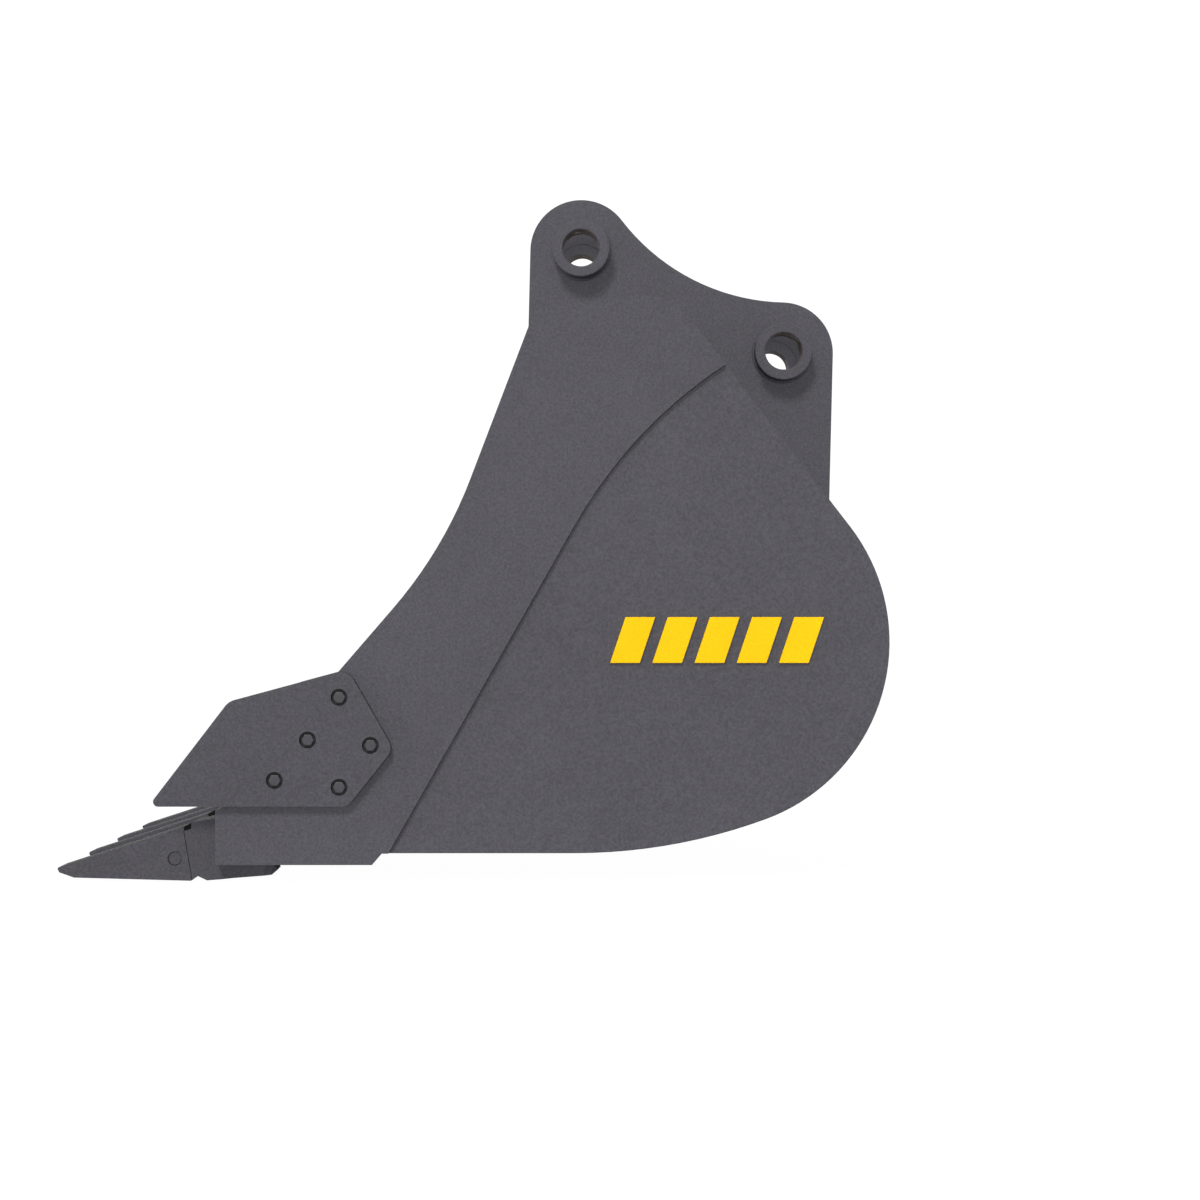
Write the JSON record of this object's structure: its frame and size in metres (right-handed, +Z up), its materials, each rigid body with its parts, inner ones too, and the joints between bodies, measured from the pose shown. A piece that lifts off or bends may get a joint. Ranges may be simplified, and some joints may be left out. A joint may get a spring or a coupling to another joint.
{
  "type": "excavator bucket",
  "caption": "Excavator digging bucket with hinge ears and pin bosses, pin-on teeth and bolt-on side cutters.",
  "frame": {"origin": "on the dipper pin axis, midway between the ears", "axes": "+X from the teeth towards the heel, +Y across the bucket along the hinge pins, +Z up with the floor level"},
  "size_m": [1.6254, 1.21, 1.3824],
  "materials": {
    "painted_plate": "matte dark grey paint on plate",
    "cast_steel": "matte dark grey paint on castings",
    "fasteners": "painted bolts, washers and nuts",
    "pin_steel": "machined",
    "mark_paint": "satin yellow paint",
    "seal_rubber": "moulded black rubber"
  },
  "bodies": {
    "bucket": {"shell_wrapper": "painted_plate", "top_plate": "painted_plate", "closing_plate": "painted_plate", "mouth_bar": "painted_plate", "tube_diaphragms": "painted_plate", "side_plate_left": "painted_plate", "side_plate_right": "painted_plate", "side_bar_left": "painted_plate", "side_bar_right": "painted_plate", "cutting_edge": "painted_plate", "ear_left": "painted_plate", "ear_right": "painted_plate", "boss_dipper_left": "painted_plate", "boss_dipper_right": "painted_plate", "boss_link_left": "painted_plate", "boss_link_right": "painted_plate", "adapter_1": "cast_steel", "adapter_2": "cast_steel", "adapter_3": "cast_steel", "adapter_4": "cast_steel", "tooth_1": "cast_steel", "tooth_2": "cast_steel", "tooth_3": "cast_steel", "tooth_4": "cast_steel", "tooth_seals": "seal_rubber", "pin_rings": "pin_steel", "side_cutter_left": "painted_plate", "side_cutter_right": "painted_plate", "cutter_bolts_left": "fasteners", "cutter_bolts_right": "fasteners", "cutter_washers_left": "fasteners", "cutter_washers_right": "fasteners", "cutter_nuts_left": "fasteners", "cutter_nuts_right": "fasteners", "wear_strips": "painted_plate", "mark_left": "mark_paint", "mark_right": "mark_paint"},
    "pin_1": {"tooth_pin_1": "pin_steel"},
    "pin_2": {"tooth_pin_2": "pin_steel"},
    "pin_3": {"tooth_pin_3": "pin_steel"},
    "pin_4": {"tooth_pin_4": "pin_steel"}
  },
  "joints": [
    {"name": "tooth_pin_1_slide", "type": "slide", "parent": "bucket", "child": "pin_1", "axis": [0, -1, 0], "range_m": [0, 0.12]},
    {"name": "tooth_pin_2_slide", "type": "slide", "parent": "bucket", "child": "pin_2", "axis": [0, -1, 0], "range_m": [0, 0.12]},
    {"name": "tooth_pin_3_slide", "type": "slide", "parent": "bucket", "child": "pin_3", "axis": [0, -1, 0], "range_m": [0, 0.12]},
    {"name": "tooth_pin_4_slide", "type": "slide", "parent": "bucket", "child": "pin_4", "axis": [0, -1, 0], "range_m": [0, 0.12]}
  ]
}
